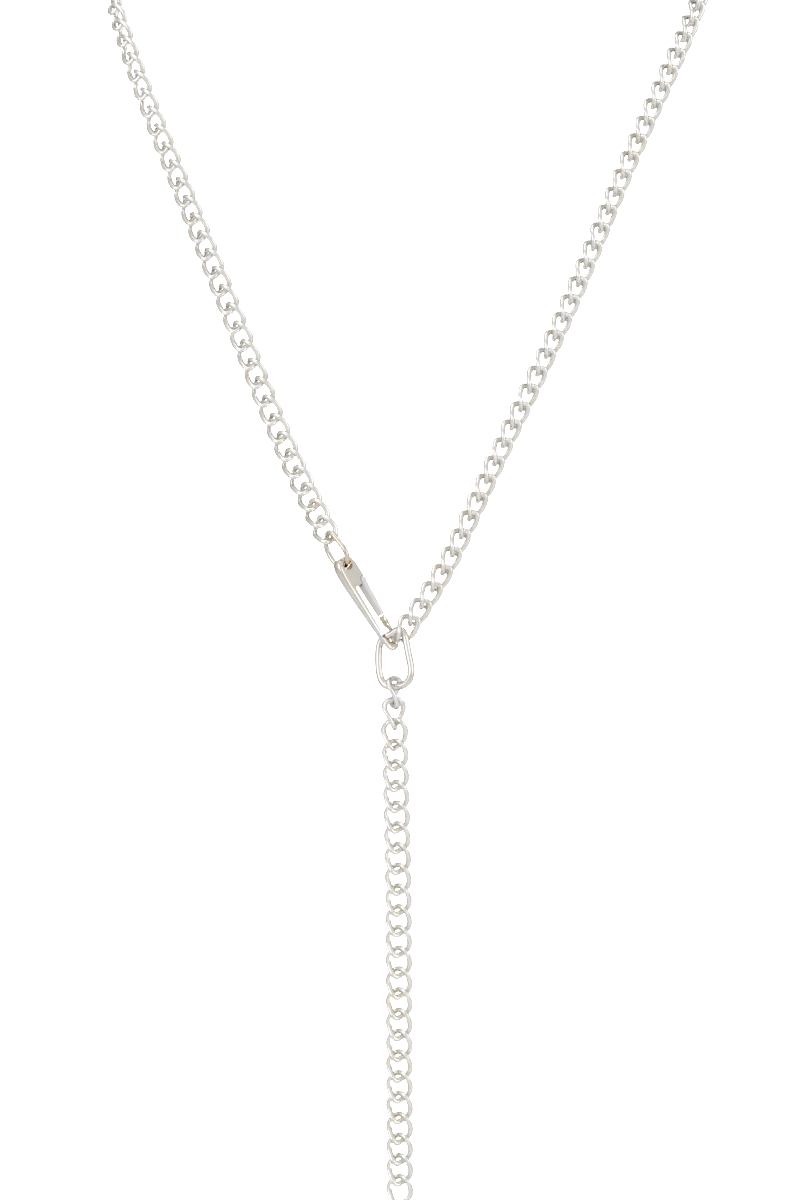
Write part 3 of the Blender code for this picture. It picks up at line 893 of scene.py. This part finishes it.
class NECKLACE_OT_stage(bpy.types.Operator):
    """Set up the pale floor, the soft lights and the camera"""

    bl_idname = "necklace.stage"
    bl_label = "Add the studio"

    FLOOR_HEIGHT = -0.75
    FLOOR_SIZE = 14
    FLOOR_ROUGHNESS = 0.9
    SWEEP_DEPTH = 2.4
    SWEEP_HEIGHT = 2.5
    SWEEP_RADIUS = 0.4
    SWEEP_STEPS = 24
    VIEW_PLANE = -0.094
    VIEW_HEIGHT = -0.1424
    DISTANCE = 1.1
    FRAME_HEIGHT = 0.24
    SENSOR = 24
    NECKLACE_MIDDLE = (0, -0.06, -0.13)
    WALL_MIDDLE = (0, SWEEP_DEPTH, -0.15)
    ROOM_COLOUR = (0.97, 0.98, 1.0, 1)
    ROOM_STRENGTH = 0.75

    # Each light's place, size, power, spread in degrees and what it looks at
    LIGHTS = {
        "key": ((-1.0, -1.3, 0.25), 1.2, 3.8, 180, NECKLACE_MIDDLE),
        "fill": ((1.1, -1.2, 0.0), 1.2, 2.8, 180, NECKLACE_MIDDLE),
        "top": ((0.0, -0.3, 1.1), 1.0, 2.0, 180, NECKLACE_MIDDLE),
        "backdrop": ((0.0, 1.2, 0.7), 0.8, 70.0, 100, WALL_MIDDLE),
    }

    def execute(self, context):
        finish = context.scene.necklace_finish
        self.sweep(context, finish)
        self.lights(context)
        data = bpy.data.cameras.new("camera")
        data.sensor_fit = "VERTICAL"
        data.sensor_height = self.SENSOR
        data.lens = self.SENSOR * self.DISTANCE / self.FRAME_HEIGHT
        data.clip_start = 0.01
        camera = bpy.data.objects.new("camera", data)
        context.scene.collection.objects.link(camera)
        camera.location = (0, self.VIEW_PLANE - self.DISTANCE, self.VIEW_HEIGHT)
        camera.rotation_euler = (math.pi / 2, 0, 0)
        context.scene.camera = camera
        return {"FINISHED"}

    def sweep(self, context, finish):
        """A floor that curves up into a backdrop."""
        deselect()
        bpy.ops.mesh.primitive_plane_add(size=1)
        floor = context.object
        floor.name = "studio_sweep"
        bpy.ops.object.mode_set(mode="EDIT")
        bpy.ops.mesh.select_all(action="SELECT")
        bpy.ops.transform.resize(value=(self.FLOOR_SIZE, self.FLOOR_SIZE, 1))
        middle = self.SWEEP_DEPTH - self.FLOOR_SIZE / 2
        bpy.ops.transform.translate(value=(0, middle, self.FLOOR_HEIGHT))
        bpy.ops.mesh.select_mode(type="EDGE")
        bpy.ops.mesh.select_all(action="DESELECT")
        bpy.ops.object.mode_set(mode="OBJECT")
        for vertex in floor.data.vertices:
            vertex.select = vertex.co.y > middle
        for edge in floor.data.edges:
            edge.select = all(floor.data.vertices[i].select for i in edge.vertices)
        bpy.ops.object.mode_set(mode="EDIT")
        bpy.ops.mesh.extrude_region_move(TRANSFORM_OT_translate={"value": (0, 0, self.SWEEP_HEIGHT)})
        bpy.ops.object.mode_set(mode="OBJECT")
        bevel = floor.modifiers.new("sweep", "BEVEL")
        bevel.width = self.SWEEP_RADIUS
        bevel.segments = self.SWEEP_STEPS
        bpy.ops.object.modifier_apply(modifier=bevel.name)
        smooth(floor)
        material = bpy.data.materials.new("studio_paper")
        material.use_nodes = True
        shader = material.node_tree.nodes["Principled BSDF"]
        shader.inputs["Base Color"].default_value = (*finish.floor_colour, 1)
        shader.inputs["Roughness"].default_value = self.FLOOR_ROUGHNESS
        floor.data.materials.append(material)

    def lights(self, context):
        """Soft lights round the object, one on the backdrop, and a pale room."""
        for name, (place, size, power, spread, aim) in self.LIGHTS.items():
            data = bpy.data.lights.new(name, "AREA")
            data.shape = "SQUARE"
            data.size = size
            data.energy = power
            data.spread = math.radians(spread)
            lamp = bpy.data.objects.new(name, data)
            context.scene.collection.objects.link(lamp)
            lamp.location = place
            lamp.rotation_euler = (Vector(aim) - Vector(place)).to_track_quat("-Z", "Y").to_euler()
        world = bpy.data.worlds.new("room")
        world.use_nodes = True
        background = world.node_tree.nodes["Background"]
        background.inputs["Color"].default_value = self.ROOM_COLOUR
        background.inputs["Strength"].default_value = self.ROOM_STRENGTH
        context.scene.world = world
        context.scene.view_settings.view_transform = "Standard"


class NECKLACE_PT_panel(bpy.types.Panel):
    """The necklace's sizes, finish and steps."""

    bl_idname = "NECKLACE_PT_panel"
    bl_label = "Link necklace"
    bl_space_type = "VIEW_3D"
    bl_region_type = "UI"
    bl_category = "Necklace"

    def draw(self, context):
        for group in settings():
            column = self.layout.column(align=True)
            for name in group.bl_rna.properties.keys():
                if name not in ("rna_type", "name"):
                    column.prop(group, name)
        for step in STEPS:
            self.layout.operator("necklace." + step)


GROUPS = {
    "necklace_chain": NecklaceChain,
    "necklace_fittings": NecklaceFittings,
    "necklace_finish": NecklaceFinish,
}
STEPS = ("stage", "chains", "connector", "ring", "clasp_body", "clasp_lever")
CLASSES = (
    *GROUPS.values(),
    NECKLACE_OT_stage,
    NECKLACE_OT_chains,
    NECKLACE_OT_connector,
    NECKLACE_OT_ring,
    NECKLACE_OT_clasp_body,
    NECKLACE_OT_clasp_lever,
    NECKLACE_PT_panel,
)


def register():
    """Adds the necklace's classes and settings to Blender."""
    for item in CLASSES:
        bpy.utils.register_class(item)
    for name, group in GROUPS.items():
        setattr(bpy.types.Scene, name, bpy.props.PointerProperty(type=group))


def unregister():
    """Takes them out again."""
    for name in GROUPS:
        delattr(bpy.types.Scene, name)
    for item in reversed(CLASSES):
        bpy.utils.unregister_class(item)


def main():
    """Builds the whole scene."""
    register()
    for step in STEPS:
        getattr(bpy.ops.necklace, step)()


if __name__ == "__main__":
    main()
